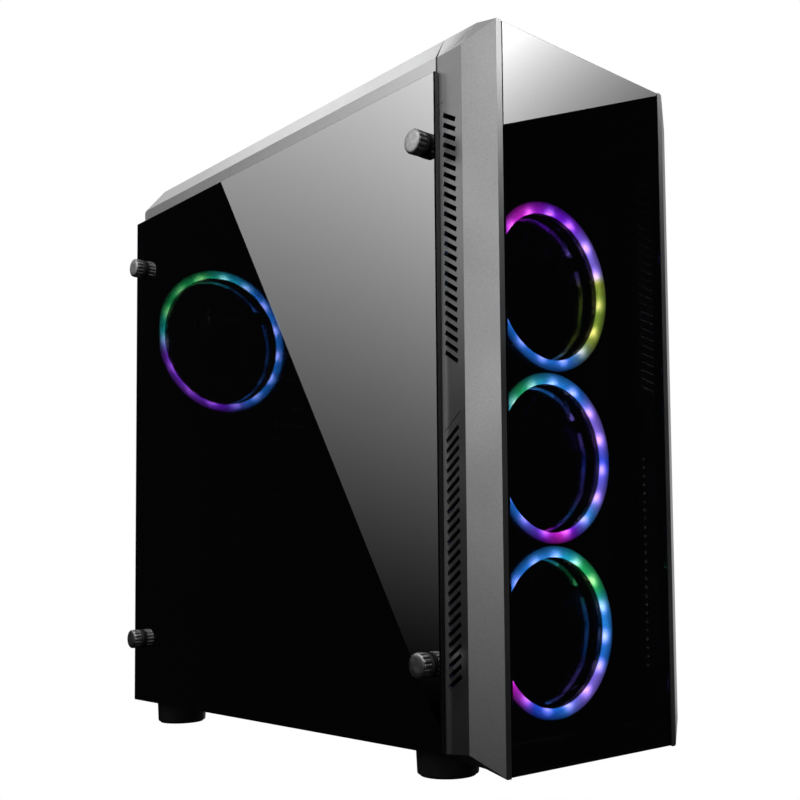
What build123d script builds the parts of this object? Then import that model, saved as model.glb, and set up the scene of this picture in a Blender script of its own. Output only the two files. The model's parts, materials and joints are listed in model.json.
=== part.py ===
from build123d import *
import os
from math import atan2, cos, degrees, pi, sin, sqrt

# A glass-sided desktop computer tower, in millimetres.
# Modelling frame: X across the case from its middle plane (the glass side is -X),
# Y back from the outer face of the front glass, Z up from the surface it stands on.
# Every sub-part is shifted once, at export, to put the origin under the middle of the tower.

# ---- driving dimensions ----
HEIGHT = 480.0              # floor to the top of the front bezel
BODY_REAR = 456.0           # outer face of the rear panel
SHEET = 1.0                 # steel sheet of the chassis
FOOT_HEIGHT = 18.4
CHASSIS_TOP = 455.0
CHASSIS_HALF = 95.7         # half width of floor and roof
INNER_REAR = BODY_REAR - SHEET
INNER_FRONT = 43.0          # front edge of floor, roof and side frame
FLOOR_TOP = FOOT_HEIGHT + SHEET
ROOF_UNDER = CHASSIS_TOP - SHEET

# front bezel
BEZEL_HALF = 104.0          # widest point, at the rear edge of the front facets
BEZEL_FACE_HALF = 85.0
BEZEL_FACE_LOW = 6.0
FACET_DEPTH = 12.0
BEZEL_DEPTH = 42.6
BEZEL_WALL = 3.0
COVER_HALF = 98.0
COVER_TOP = 479.0
COVER_SHOULDER = 465.0      # where the cover's side wall turns into the top chamfer
COVER_FLAT_HALF = 90.4      # half width of the flat top, at the upper edge of the chamfer
COVER_REAR = 450.3
COVER_REAR_LOW = 463.3      # the top slopes down to this height at the rear
COVER_SLOPE_START = 427.0
RIDGE_SHOULDER = 461.0
VENT_PITCH = 6.4
VENTS_IN_GROUP = 25
VENT_SLOT_HEIGHT = 3.0
VENT_SLOT_LENGTH = 17.0
VENT_TILT = 29.0
VENT_SEAM = 0.8             # the shallow groove above each group of slots
VENT_GROUP_LOWS = (266.4, 64.2)

# glass
GLASS_OUT = 102.2           # outer face of the side glass
GLASS = 4.0
GLASS_FRONT = 40.0
GLASS_REAR = 457.7
GLASS_TOP = 454.0
FRONT_GLASS_HALF = 80.0
FRONT_GLASS_LOW = 6.7
FRONT_GLASS_HIGH = 479.7
SCREW_ROWS = (GLASS_TOP - 45.0, FOOT_HEIGHT + 55.0)
SCREW_COLUMNS = (GLASS_FRONT + 12.0, GLASS_REAR - 12.0)
SCREW_SHANK = 1.75
SCREW_BORE = 1.80
HEAD_RADIUS = 8.25
HEAD_LENGTH = 7.0
WASHER = 2.5
PAD = 1.5
BUSH = 2.6                  # how far the threaded bush stands into the case

# fans
FAN = 120.0
FAN_DEPTH = 25.0
FAN_PITCH = 120.0
FAN_FACE = 36.3             # front face of the front fans
FAN_MIDDLE = 209.1
REAR_FAN = 140.0
REAR_FAN_X = -25.3
REAR_FAN_Z = 349.9
RING_DEPTH = 4.0
FAN_MOUNT = SHEET + FAN_FACE + FAN_DEPTH

# expansion slots and board
SLOT_PITCH = 20.32
SLOTS = 7
SLOT_LOWEST = 127.9
BOARD_FACE = 86.75
BOARD = 1.6
TRAY = CHASSIS_HALF - SHEET
BOARD_TOP = 429.0
BOARD_SIZE = (244.0, 305.0)
BOARD_REAR = 453.8
IO_X = (46.1, 90.55)
IO_Z = (265.6, 424.35)

# power supply bay
SHROUD_Z = 113.0
SHROUD_WALL_REAR = 430.0
PSU_X = 75.0
PSU_Y = (305.0, INNER_REAR)
PSU_Z = (20.0, 106.0)
PSU_FAN_Y = 375.0
PSU_WALL = 1.2
SWITCH_X = 50.0
SWITCH_Z = 72.0
SWITCH_REST_TILT = 8.0

# controls on top
CONTROL_Y = 64.0
USB_X = (-62.0, -44.0, 42.0)
JACK_X = (58.0, 69.0)
SMALL_BUTTON_X = 21.0
POWER_RADIUS = 9.0
SMALL_RADIUS = 3.4
BUTTON_GAP = 0.4
BUTTON_TRAVEL = 1.2
SWITCH_STEM = 5.4           # height of a switch on the control board
BOARD_STRIP_Z = (CHASSIS_TOP, CHASSIS_TOP + 1.6)

FOOT_RADIUS = 21.0
FOOT_X = 75.0
FOOT_Y = (64.0, 420.0)
RIGHT_SCREWS_Z = (440.0, 60.0)
RIGHT_SCREW_X = 90.0
RIGHT_TAB_FACE = BODY_REAR + 1.1
RIGHT_HEAD_LENGTH = 6.0

# the one placement shift: the box runs from the side screws' heads to the bezel,
# and from the front glass to the heads of the rear screws
SIDE_HEAD_OUT = GLASS_OUT + WASHER + HEAD_LENGTH
PLACE = Pos((SIDE_HEAD_OUT - BEZEL_HALF) / 2, -(RIGHT_TAB_FACE + RIGHT_HEAD_LENGTH) / 2, 0)
TO_BACK = Rot(-90, 0, 0)    # turns a part built along +Z so that it points along +Y


# ---- helpers ----
def block(x, y, z):
    """A box between pairs of limits on each axis."""
    size = (x[1] - x[0], y[1] - y[0], z[1] - z[0])
    middle = ((x[0] + x[1]) / 2, (y[0] + y[1]) / 2, (z[0] + z[1]) / 2)
    return Pos(*middle) * Box(*size)


def disc(radius, low, high):
    """A cylinder about the Z axis between two heights."""
    return Pos(0, 0, (low + high) / 2) * Cylinder(radius, high - low)


def tube(outer, inner, low, high):
    return disc(outer, low, high) - disc(inner, low - 1, high + 1)


def along_y(shape, x, y, z):
    """Places a part built on the Z axis so that its axis runs along +Y from (x, y, z)."""
    return Pos(x, y, z) * TO_BACK * shape


def along_x(shape, x, y, z):
    """The same, with the axis along +X."""
    return Pos(x, y, z) * Rot(0, 90, 0) * shape


def round_hole(u, v, radius):
    return Wire.make_circle(radius, Plane((u, v, 0)))


def square_hole(u, v):
    corners = [(u[0], v[0], 0), (u[1], v[0], 0), (u[1], v[1], 0), (u[0], v[1], 0)]
    return Wire.make_polygon(corners, close=True)


def sheet(plane, u, v, holes, thickness=SHEET):
    """A flat punched sheet: limits and holes are given in the plane's own two directions."""
    face = Face(square_hole(u, v), holes)
    return extrude(plane * face, thickness, dir=plane.z_dir)


def across(x):
    """The plane at x whose two directions are Y and Z; sheets on it grow towards +X."""
    return Plane(origin=(x, 0, 0), x_dir=(0, 1, 0), z_dir=(1, 0, 0))


def facing_front(y):
    """The plane at y whose two directions are X and Z; sheets on it grow towards -Y."""
    return Plane(origin=(0, y, 0), x_dir=(1, 0, 0), z_dir=(0, -1, 0))


def level(z):
    """The plane at height z; sheets on it grow upwards."""
    return Plane(origin=(0, 0, z))


def honeycomb(centre, half, pitch, radius, reach=None):
    """Staggered round holes within a rectangle of half sizes, or within a circle of radius reach."""
    holes = []
    row_step = pitch * sqrt(3) / 2
    rows = int(half[1] / row_step)
    for row in range(-rows, rows + 1):
        shift = pitch / 2 if row % 2 else 0.0
        columns = int(half[0] / pitch)
        for column in range(-columns, columns + 1):
            u = column * pitch + shift
            v = row * row_step
            if abs(u) > half[0] or (reach and sqrt(u * u + v * v) > reach):
                continue
            holes.append(round_hole(centre[0] + u, centre[1] + v, radius))
    return holes


def corners_of(pitch):
    return [(a * pitch / 2, b * pitch / 2) for a in (-1, 1) for b in (-1, 1)]


# ---- chassis ----
def chassis_floor():
    vents = [square_hole((-44, 44), (y, y + 6)) for y in range(314, 434, 12)]
    bolts = [round_hole(x, y, 2.2) for x in (-FOOT_X, FOOT_X) for y in FOOT_Y]
    plate = sheet(level(FOOT_HEIGHT), (-CHASSIS_HALF, CHASSIS_HALF), (INNER_FRONT, INNER_REAR), vents + bolts)
    for side in (-1, 1):
        rail = block(sorted((side * 50.4, side * 52.4)), (292, 452), (14.0, FOOT_HEIGHT))
        lip = block(sorted((side * 48.0, side * 52.4)), (292, 452), (13.0, 14.0))
        plate += rail + lip
    return plate


def chassis_roof():
    openings = [round_hole(0, y, 57) for y in (190, 330)]
    openings += [round_hole(a, y + b, 2.2) for y in (190, 330) for a, b in corners_of(105)]
    openings.append(square_hole((-40, 40), (78, 88)))
    return sheet(level(ROOF_UNDER), (-CHASSIS_HALF, CHASSIS_HALF), (INNER_FRONT, INNER_REAR), openings)


def slot_row(index):
    return SLOT_LOWEST + index * SLOT_PITCH


def rear_panel():
    holes = honeycomb((REAR_FAN_X, REAR_FAN_Z), (66, 66), 8.2, 3.5, 63)
    holes += [round_hole(REAR_FAN_X + a, REAR_FAN_Z + b, 2.4) for a, b in corners_of(124.5)]
    holes += honeycomb((-54, 192.5), (14, 75), 6.4, 2.5)
    holes.append(square_hole(IO_X, IO_Z))
    for index in range(SLOTS):
        middle = slot_row(index)
        holes.append(square_hole((-11, 92.2), (middle - 6, middle + 6)))
        holes.append(round_hole(-19, middle, 1.8))
    holes.append(square_hole((-72, 72), (24, 102)))
    holes += [round_hole(RIGHT_SCREW_X, z, SCREW_BORE) for z in RIGHT_SCREWS_Z]
    edges = (-CHASSIS_HALF - SHEET, CHASSIS_HALF)
    return sheet(facing_front(BODY_REAR), edges, (FOOT_HEIGHT, CHASSIS_TOP), holes)


def chassis_front():
    holes = []
    for step in (-1, 0, 1):
        middle = FAN_MIDDLE + step * FAN_PITCH
        holes.append(round_hole(0, middle, 57))
        holes += [round_hole(a, middle + b, 2.3) for a, b in corners_of(105)]
    holes += [square_hole((x, x + 12), (z, z + 60)) for x in (-86, 74) for z in (60, 180, 300)]
    return sheet(facing_front(FAN_MOUNT), (-CHASSIS_HALF, TRAY), (FLOOR_TOP, ROOF_UNDER), holes)


def motherboard_tray():
    holes = [square_hole((270, 400), (290, 405))]
    holes += [square_hole((176, 200), (z, z + 70)) for z in (140, 240, 340)]
    holes.append(square_hole((90, 290), (35, 100)))
    return sheet(across(TRAY), (FAN_MOUNT, INNER_REAR), (FLOOR_TOP, ROOF_UNDER), holes)


def side_frame():
    """The flat black frame behind the glass, with the large way into the case."""
    holes = [square_hole((78, 420), (119, 444))]
    holes += [round_hole(y, z, 3.6) for y in SCREW_COLUMNS for z in SCREW_ROWS]
    return sheet(across(-CHASSIS_HALF - SHEET), (INNER_FRONT, INNER_REAR), (FOOT_HEIGHT, CHASSIS_TOP), holes)


def psu_shroud():
    vents = [square_hole((-70, 10), (y, y + 5)) for y in range(320, 440, 10)]
    cable_ways = [square_hole((70, 90), (y, y + 60)) for y in (110, 230)]
    top = sheet(level(SHROUD_Z), (-CHASSIS_HALF, TRAY), (FAN_MOUNT, INNER_REAR - SHEET), vents + cable_ways)
    wall = block((-CHASSIS_HALF, -CHASSIS_HALF + SHEET), (FAN_MOUNT, SHROUD_WALL_REAR), (FLOOR_TOP, SHROUD_Z))
    return top + wall


# ---- rear fittings ----
def slot_cover(index):
    """One cover: pairs and single holes alternate on both sides of a short slot."""
    middle = slot_row(index)
    holes = []
    for first in (88.5, 30.5):
        for step in range(7):
            u = first - step * 6.4
            offsets = (-3.2, 3.2) if step % 2 else (0,)
            holes += [round_hole(u, middle + v, 1.6) for v in offsets]
    holes.append(square_hole((35, 45), (middle - 0.9, middle + 0.9)))
    holes.append(round_hole(-19, middle, 1.8))
    return sheet(facing_front(INNER_REAR), (-24, 94), (middle - 9.2, middle + 9.2), holes)


def slot_covers():
    return Compound(children=[slot_cover(index) for index in range(SLOTS)])


def slot_cover_screws():
    screw = disc(3.2, 0, 2) + disc(1.7, -5, 0) - Pos(0, 0, 1.6) * Box(4.5, 0.9, 1.2)
    return Compound(children=[along_y(screw, -19, BODY_REAR, slot_row(i)) for i in range(SLOTS)])


# Sockets on the board's rear edge: (low z, high z, height off the board, mouths).
# A mouth is (low, high) off the board and (low z, high z), or a jack at (height, z) of radius 1.9.
PORT_BLOCKS = (
    (404.0, 419.0, 30.0, [((3.0, 8.4), (405.2, 417.8)), ((15.0, 20.4), (405.2, 417.8))]),
    (380.0, 397.0, 13.0, [((3.0, 11.0), (381.5, 395.5))]),
    (352.0, 367.0, 17.0, [((2.6, 8.0), (353.2, 365.8)), ((10.2, 15.6), (353.2, 365.8))]),
    (326.0, 342.5, 29.5, [((2.6, 8.0), (328.0, 340.6)), ((14.5, 25.5), (328.0, 340.6))]),
)
JACKS = ((300.0, 7.0), (300.0, 20.0), (285.0, 7.0), (285.0, 20.0), (285.0, 33.0))
PORT_FRONT = 436.0
JACK_BORE = 1.9


def board_ports():
    blocks = []
    for low, high, height, mouths in PORT_BLOCKS:
        body = block((BOARD_FACE - height, BOARD_FACE), (PORT_FRONT, BODY_REAR - 0.4), (low, high))
        for (near, far), (bottom, top) in mouths:
            body -= block((BOARD_FACE - far, BOARD_FACE - near), (444.0, BODY_REAR), (bottom, top))
        blocks.append(body)
    for z, height in JACKS:
        if height < 10:
            tallest = max(h for row, h in JACKS if row == z) + 6
            body = block((BOARD_FACE - tallest, BOARD_FACE), (PORT_FRONT, BODY_REAR - 0.4), (z - 6, z + 6))
            for row, h in JACKS:
                if row == z:
                    body -= along_y(disc(JACK_BORE, 0, 14), BOARD_FACE - h, BODY_REAR - 12, z)
            blocks.append(body)
    return Compound(children=blocks)


def io_shield():
    gap = 0.25
    holes = []
    for low, high, height, mouths in PORT_BLOCKS:
        holes.append(square_hole((BOARD_FACE - height - gap, BOARD_FACE + gap), (low - gap, high + gap)))
    for z in {row for row, height in JACKS}:
        tallest = max(h for row, h in JACKS if row == z) + 6
        holes.append(square_hole((BOARD_FACE - tallest - gap, BOARD_FACE + gap), (z - 6 - gap, z + 6 + gap)))
    across_x = (IO_X[0] + gap, IO_X[1] - gap)
    return sheet(facing_front(BODY_REAR), across_x, (IO_Z[0] + gap, IO_Z[1] - gap), holes)


def right_side_panel():
    inner = GLASS_OUT - 0.8
    low = FOOT_HEIGHT + 0.4
    high = GLASS_TOP - 0.4
    body = block((inner, GLASS_OUT), (INNER_FRONT, RIGHT_TAB_FACE), (low, high))
    rim_x = (CHASSIS_HALF + 0.4, inner)
    body += block(rim_x, (INNER_FRONT, RIGHT_TAB_FACE), (high - 0.8, high))
    body += block(rim_x, (INNER_FRONT, RIGHT_TAB_FACE), (low, low + 0.8))
    body += block(rim_x, (INNER_FRONT, INNER_FRONT + 0.8), (low, high))
    for z in RIGHT_SCREWS_Z:
        tab = block((84, inner), (RIGHT_TAB_FACE - 0.8, RIGHT_TAB_FACE), (z - 11, z + 11))
        body += tab - along_y(disc(2.2, -3, 3), RIGHT_SCREW_X, RIGHT_TAB_FACE, z)
    return body


def knurled_head(radius, length, flutes, flute_radius):
    """A fluted round head on the Z axis, its back face at 0 and its chamfered face at length."""
    head = disc(radius, 0, length)
    head = chamfer(head.edges().sort_by(Axis.Z)[-1], radius * 0.1)
    grooves = []
    for index in range(flutes):
        angle = 2 * pi * index / flutes
        reach = radius + flute_radius * 0.45
        flute = Cylinder(flute_radius, length + 2)
        grooves.append(Pos(reach * cos(angle), reach * sin(angle), length / 2) * flute)
    return head - grooves


def right_thumbscrew(z):
    screw = knurled_head(6.0, RIGHT_HEAD_LENGTH, 16, 0.7) + disc(SCREW_SHANK, -7, 0)
    screw -= Pos(0, 0, RIGHT_HEAD_LENGTH) * (Box(8, 1.2, 2) + Box(1.2, 8, 2))
    return along_y(screw, RIGHT_SCREW_X, RIGHT_TAB_FACE, z)


# ---- side glass and its fasteners ----
def screw_points():
    return [(y, z) for y in SCREW_COLUMNS for z in SCREW_ROWS]


def side_glass():
    holes = [round_hole(y, z, 3.2) for y, z in screw_points()]
    pane = sheet(across(-GLASS_OUT), (GLASS_FRONT, GLASS_REAR), (FOOT_HEIGHT, GLASS_TOP), holes, GLASS)
    rim = [edge for edge in pane.faces().sort_by(Axis.X)[0].outer_wire().edges()]
    return chamfer(rim, 0.7)


def glass_pads():
    ring = tube(8.0, 3.5, 0, PAD)
    return Compound(children=[along_x(ring, -GLASS_OUT + GLASS, y, z) for y, z in screw_points()])


def glass_standoffs():
    bush = disc(3.5, -SHEET, BUSH) + disc(5, 0, 1.2)
    bush -= disc(SCREW_BORE, -SHEET - 1, BUSH + 1)
    return Compound(children=[along_x(bush, -CHASSIS_HALF, y, z) for y, z in screw_points()])


def thumbscrew_washers():
    ring = tube(HEAD_RADIUS - 0.25, 2.0, 0, WASHER)
    return Compound(children=[along_x(ring, -GLASS_OUT - WASHER, y, z) for y, z in screw_points()])


def glass_thumbscrew(y, z):
    screw = knurled_head(HEAD_RADIUS, HEAD_LENGTH, 14, 1.05)
    screw += disc(SCREW_SHANK, -(WASHER + GLASS + PAD + SHEET + BUSH), 0)
    return Pos(-GLASS_OUT - WASHER, y, z) * Rot(0, -90, 0) * screw


# ---- front bezel ----
def ring_of_eight(y, half, low, high, run, drop_low, drop_high):
    """The bezel's outline at one depth: a rectangle with its four corners cut."""
    points = [
        (-half, low + drop_low),
        (-half, high - drop_high),
        (-half + run, high),
        (half - run, high),
        (half, high - drop_high),
        (half, low + drop_low),
        (half - run, low),
        (-half + run, low),
    ]
    wire = Wire.make_polygon([(x, y, z) for x, z in points], close=True)
    return Face(wire)


def between(first, second):
    return loft([first, second], ruled=True)


def vent_seams(y, z, tilt):
    """A groove in each side wall, parallel to the slots below it."""
    share = (BEZEL_DEPTH - y) / (BEZEL_DEPTH - FACET_DEPTH)
    rear_half = COVER_HALF - 0.6
    surface = rear_half + (BEZEL_HALF - rear_half) * share
    lean = degrees(atan2(BEZEL_HALF - rear_half, BEZEL_DEPTH - FACET_DEPTH))
    seams = []
    for side in (-1, 1):
        bar = Rot(tilt, 0, 0) * Box(VENT_SEAM, VENT_SLOT_LENGTH + 5, VENT_SEAM)
        seams.append(Pos(side * surface, y, z) * Rot(0, 0, side * lean) * bar)
    return seams


def front_bezel():
    flat = COVER_FLAT_HALF
    ridge_drop = COVER_TOP - RIDGE_SHOULDER
    back_drop = COVER_TOP - COVER_SHOULDER
    back_half = COVER_HALF - 0.6
    face = ring_of_eight(0, BEZEL_FACE_HALF, BEZEL_FACE_LOW, HEIGHT, 1.0, 1.0, 1.0)
    ridge = ring_of_eight(FACET_DEPTH, BEZEL_HALF, 12.0, COVER_TOP, BEZEL_HALF - flat, 10.0, ridge_drop)
    back = ring_of_eight(BEZEL_DEPTH, back_half, FOOT_HEIGHT - 4, COVER_TOP, back_half - flat, 4.0, back_drop)
    shell = between(face, ridge) + between(ridge, back)
    w = BEZEL_WALL
    mouth = ring_of_eight(7.3, 90.0, 15.0, COVER_TOP - w, 10.0, 6.0, 6.0)
    belly = ring_of_eight(13.5, BEZEL_HALF - w, 16.0, COVER_TOP - w, BEZEL_HALF - flat - 1, 8.0, ridge_drop - 1)
    end_half = back_half - w - 0.2
    end_y = BEZEL_DEPTH + 1
    end_run = end_half - flat + 2.4
    hollow_end = ring_of_eight(end_y, end_half, FOOT_HEIGHT - 4 + w, COVER_TOP - w, end_run, 2.6, back_drop - 1)
    shell -= between(mouth, belly) + between(belly, hollow_end)
    shell -= block((-76, 76), (-1, 10), (15, 466))
    recess_half = FRONT_GLASS_HALF + 0.4
    shell -= block((-recess_half, recess_half), (-1, GLASS + 0.2), (0, HEIGHT + 10))
    middle_y = (FACET_DEPTH + BEZEL_DEPTH) / 2 + 0.4
    for low, tilt in zip(VENT_GROUP_LOWS, (VENT_TILT, -VENT_TILT)):
        slots = []
        for index in range(VENTS_IN_GROUP):
            slot = Rot(tilt, 0, 0) * Box(240, VENT_SLOT_LENGTH, VENT_SLOT_HEIGHT)
            slots.append(Pos(0, middle_y, low + index * VENT_PITCH) * slot)
        shell -= slots
        shell -= vent_seams(middle_y, low + (VENTS_IN_GROUP + 0.2) * VENT_PITCH, tilt)
    return shell


def front_glass():
    pane = block((-FRONT_GLASS_HALF, FRONT_GLASS_HALF), (0, GLASS), (FRONT_GLASS_LOW, FRONT_GLASS_HIGH))
    return chamfer(pane.faces().sort_by(Axis.Y)[0].edges(), 0.6)


# ---- top cover and controls ----
def cover_profile(half, shoulder, top, run, y):
    points = [(-half, CHASSIS_TOP + 0.3), (-half, shoulder), (-half + run, top)]
    points += [(-x, z) for x, z in reversed(points)]
    return Face(Wire.make_polygon([(x, y, z) for x, z in points], close=True))


FILTER_HALF = 62.0
FILTER_Y = (106.0, 400.0)
COVER_WALL = 2.5


def top_cover():
    run = COVER_HALF - COVER_FLAT_HALF
    outside = cover_profile(COVER_HALF, COVER_SHOULDER, COVER_TOP, run, INNER_FRONT)
    shell = extrude(outside, COVER_REAR - INNER_FRONT, dir=(0, 1, 0))
    start = (-120, COVER_SLOPE_START, COVER_TOP)
    above = (-120, COVER_REAR, COVER_TOP + 10)
    end = (-120, COVER_REAR, COVER_REAR_LOW)
    slope = Face(Wire.make_polygon([start, (-120, COVER_SLOPE_START, COVER_TOP + 10), above, end], close=True))
    shell -= extrude(slope, 240, dir=(1, 0, 0))
    inner_half = COVER_HALF - COVER_WALL
    inside = cover_profile(inner_half, COVER_SHOULDER - 1.2, COVER_TOP - COVER_WALL, run - 0.6, INNER_FRONT - 1)
    hollow = extrude(inside, COVER_SLOPE_START - 2 - INNER_FRONT, dir=(0, 1, 0))
    shell -= hollow
    shell -= block((-FILTER_HALF, FILTER_HALF), FILTER_Y, (COVER_TOP - 1.2, COVER_TOP + 1))
    y = FILTER_Y[0] + 9
    while y < FILTER_Y[1] - 14:
        for low in (-55.0, 3.0):
            shell -= block((low, low + 52), (y, y + 6), (COVER_TOP - 4, COVER_TOP))
        y += 12
    cut_z = (COVER_TOP - 4, COVER_TOP + 2)
    shell -= Pos(0, CONTROL_Y, 0) * disc(POWER_RADIUS + BUTTON_GAP, *cut_z)
    for x in (-SMALL_BUTTON_X, SMALL_BUTTON_X):
        shell -= Pos(x, CONTROL_Y, 0) * disc(SMALL_RADIUS + BUTTON_GAP, *cut_z)
    for x in USB_X:
        shell -= block((x - 6.9, x + 6.9), (CONTROL_Y - 3.2, CONTROL_Y + 3.2), cut_z)
    for x in JACK_X:
        shell -= Pos(x, CONTROL_Y, 0) * disc(4.0, *cut_z)
    return shell


def top_filter():
    low = COVER_TOP - 1.2
    half, gap, border = FILTER_HALF, 0.4, 7.0
    y0, y1 = FILTER_Y
    frame = block((-half + gap, half - gap), (y0 + gap, y1 - gap), (low, low + 1.6))
    return frame - block((-half + border, half - border), (y0 + border, y1 - border), (low + 0.8, low + 2))


def button(radius, x):
    """A cap with the collar that holds it under the cover, 1 mm proud of it."""
    under = COVER_TOP - COVER_WALL
    cap = disc(radius, BOARD_STRIP_Z[1] + SWITCH_STEM + BUTTON_TRAVEL + 0.2, COVER_TOP + 1.0)
    cap = chamfer(cap.edges().sort_by(Axis.Z)[-1], 0.5)
    return Pos(x, CONTROL_Y, 0) * (cap + disc(radius + 1.3, under - 1.8, under - 0.3))


def front_io_board():
    low, high = BOARD_STRIP_Z
    strip = block((-74, 78), (CONTROL_Y - 10, CONTROL_Y + 10), (low, high))
    for x in (-SMALL_BUTTON_X, 0, SMALL_BUTTON_X):
        strip += block((x - 3, x + 3), (CONTROL_Y - 3, CONTROL_Y + 3), (high, high + SWITCH_STEM))
    return strip + block((-15, 15), (CONTROL_Y + 4, CONTROL_Y + 9.5), (high, high + 5))


def front_io_sockets():
    low = BOARD_STRIP_Z[1]
    pieces = []
    for x in USB_X:
        shell = block((x - 6.6, x + 6.6), (CONTROL_Y - 2.9, CONTROL_Y + 2.9), (low, COVER_TOP - 0.3))
        shell -= block((x - 6.1, x + 6.1), (CONTROL_Y - 2.4, CONTROL_Y + 2.4), (low + 4, COVER_TOP))
        shell += block((x - 5.4, x + 5.4), (CONTROL_Y - 0.2, CONTROL_Y + 1.6), (low + 3, COVER_TOP - 6.5))
        pieces.append(shell)
    for x in JACK_X:
        barrel = disc(3.6, low, COVER_TOP + 0.3) - disc(1.8, low + 3, COVER_TOP + 1)
        pieces.append(Pos(x, CONTROL_Y, 0) * barrel)
    return Compound(children=pieces)


# ---- fans ----
# size: (side, screw pitch, duct radius, outer radius of the light ring or None)
CASE_FAN = (FAN, 105.0, 51.5, 59.3)
BACK_FAN = (REAR_FAN, 124.5, 60.0, 67.2)
SUPPLY_FAN = (FAN, 105.0, 57.0, None)
COOLER_FAN = (92.0, 82.5, 43.5, None)
HUB_RADIUS = 20.0
HUB_FRONT = 2.2
HUB_LENGTH = 16.5
TIP_GAP = 3.2
SHAFT = 1.50
SHAFT_BORE = 1.56


def rounded_plate(side, hole, low, high):
    face = Plane.XY * RectangleRounded(side, side, 6.0) - Circle(hole)
    return Pos(0, 0, low) * extrude(face, high - low)


def fan_frame(size):
    """A fan's frame on the Z axis: its intake face is at 0 and its rear face at FAN_DEPTH."""
    side, pitch, duct, ring = size
    flange = RING_DEPTH
    body = rounded_plate(side, duct, FAN_DEPTH - flange, FAN_DEPTH)
    body += rounded_plate(side, ring + 0.15 if ring else duct, 0, flange)
    body += tube(duct + 2.0, duct, flange if ring else 0, FAN_DEPTH)
    for x, y in corners_of(pitch):
        body += Pos(x, y, 0) * disc(5.0, 0, FAN_DEPTH)
    for x, y in corners_of(pitch):
        body -= Pos(x, y, 0) * disc(2.15, -1, FAN_DEPTH + 1)
    body += disc(HUB_RADIUS + 0.5, FAN_DEPTH - 3, FAN_DEPTH)
    for index in range(4):
        arm = block((HUB_RADIUS - 1, duct + 1), (-2.5, 2.5), (FAN_DEPTH - 3, FAN_DEPTH))
        body += Rot(0, 0, 45 + 90 * index) * arm
    body += disc(4.0, 8, FAN_DEPTH - 2)
    return body - disc(SHAFT_BORE, 7, FAN_DEPTH - 2)


def light_ring(size):
    """The moulded diffuser: the ring on the intake face and three arcs at the back of the duct."""
    duct, outer = size[2], size[3]
    front = tube(outer, duct, 0, RING_DEPTH)
    arcs = tube(duct - 0.1, duct - 1.7, 16, 19)
    for index in range(3):
        arcs -= Rot(0, 0, 10 + 120 * index) * block((duct - 6, duct + 2), (-4, 4), (15, 20))
    return Compound(children=[front] + list(arcs.solids()))


def fan_rotor(size, blades):
    duct = size[2]
    tip = duct - TIP_GAP
    chord = duct * 0.47
    back = HUB_FRONT + HUB_LENGTH
    rotor = disc(HUB_RADIUS, HUB_FRONT, back) - disc(HUB_RADIUS - 2.4, HUB_FRONT + 2.4, back + 1)
    rotor += disc(SHAFT, HUB_FRONT + 1, FAN_DEPTH - 3.4)
    middle = (HUB_RADIUS + tip) / 2
    for index in range(blades):
        blade = Rot(36, 0, 0) * Box(tip - HUB_RADIUS + 4, chord, 1.7)
        blade = Pos(middle, 0, back - 8.0) * blade
        blade = blade - disc(HUB_RADIUS - 1.2, -10, 40)
        rotor += Rot(0, 0, 360 / blades * index) * blade
    return rotor & disc(tip, 1.0, 19.6 + 1.0)


def fan_screws():
    behind = disc(4.0, 0, 2.2) + disc(2.1, -12, 0) - Pos(0, 0, 2.2) * (Box(5, 1.1, 2) + Box(1.1, 5, 2))
    screws = []
    for step in (-1, 0, 1):
        for a, b in corners_of(105):
            screws.append(along_y(behind, a, FAN_MOUNT, FAN_MIDDLE + step * FAN_PITCH + b))
    for a, b in corners_of(124.5):
        screws.append(along_y(behind, REAR_FAN_X + a, BODY_REAR, REAR_FAN_Z + b))
    return Compound(children=screws)


# ---- power supply, drive and board ----
def psu_casing():
    y0, y1 = PSU_Y
    w = PSU_WALL
    shell = block((-PSU_X, PSU_X), PSU_Y, PSU_Z)
    shell -= block((-PSU_X + w, PSU_X - w), (y0 + w, y1 - w), (PSU_Z[0] + w, PSU_Z[1] - w))
    shell -= Pos(0, PSU_FAN_Y, 0) * disc(57, PSU_Z[0] - 1, PSU_Z[0] + 3)
    grid = []
    for column in range(-8, 4):
        for row in range(9):
            grid.append(along_y(disc(3.0, -3, 3), column * 8.0, y1, 31 + row * 8.0))
    shell -= grid
    shell -= block((35.6, 64.4), (y1 - 3, y1 + 1), (29.6, 52.4))
    pocket_z = (SWITCH_Z - 7.5, SWITCH_Z + 7.5)
    shell += block((SWITCH_X - 10.6, SWITCH_X + 10.6), (y1 - 8, y1), pocket_z)
    shell -= block((SWITCH_X - 9.4, SWITCH_X + 9.4), (y1 - 6.8, y1 + 1), (SWITCH_Z - 6.2, SWITCH_Z + 6.2))
    shell -= Pos(SWITCH_X, y1 - 1.6, SWITCH_Z) * Cylinder(1.26, 17)
    return shell


def psu_switch():
    rocker = Box(17.0, 5.0, 11.8) + Cylinder(1.20, 14.6)
    return Pos(SWITCH_X, INNER_REAR - 1.6, SWITCH_Z) * Rot(0, 0, SWITCH_REST_TILT) * rocker


def psu_inlet():
    x = (36.0, 64.0)
    z = (30.0, 52.0)
    body = block(x, (435, BODY_REAR + 0.6), z)
    body -= block((x[0] + 2.2, x[1] - 2.2), (441, BODY_REAR + 1), (z[0] + 3, z[1] - 3))
    for pin_x, pin_z in ((43.0, 39.5), (50.0, 43.5), (57.0, 39.5)):
        body += block((pin_x - 1, pin_x + 1), (440, BODY_REAR - 5), (pin_z - 2, pin_z + 2))
    return body


def psu_filter():
    frame = block((-50.0, 50.0), (294, 451), (14.3, 18.0))
    frame -= block((-44, 44), (300, 445), (16.0, 19.0))
    return frame + block((-15, 15), (450, 459), (14.3, 18.0))


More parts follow.
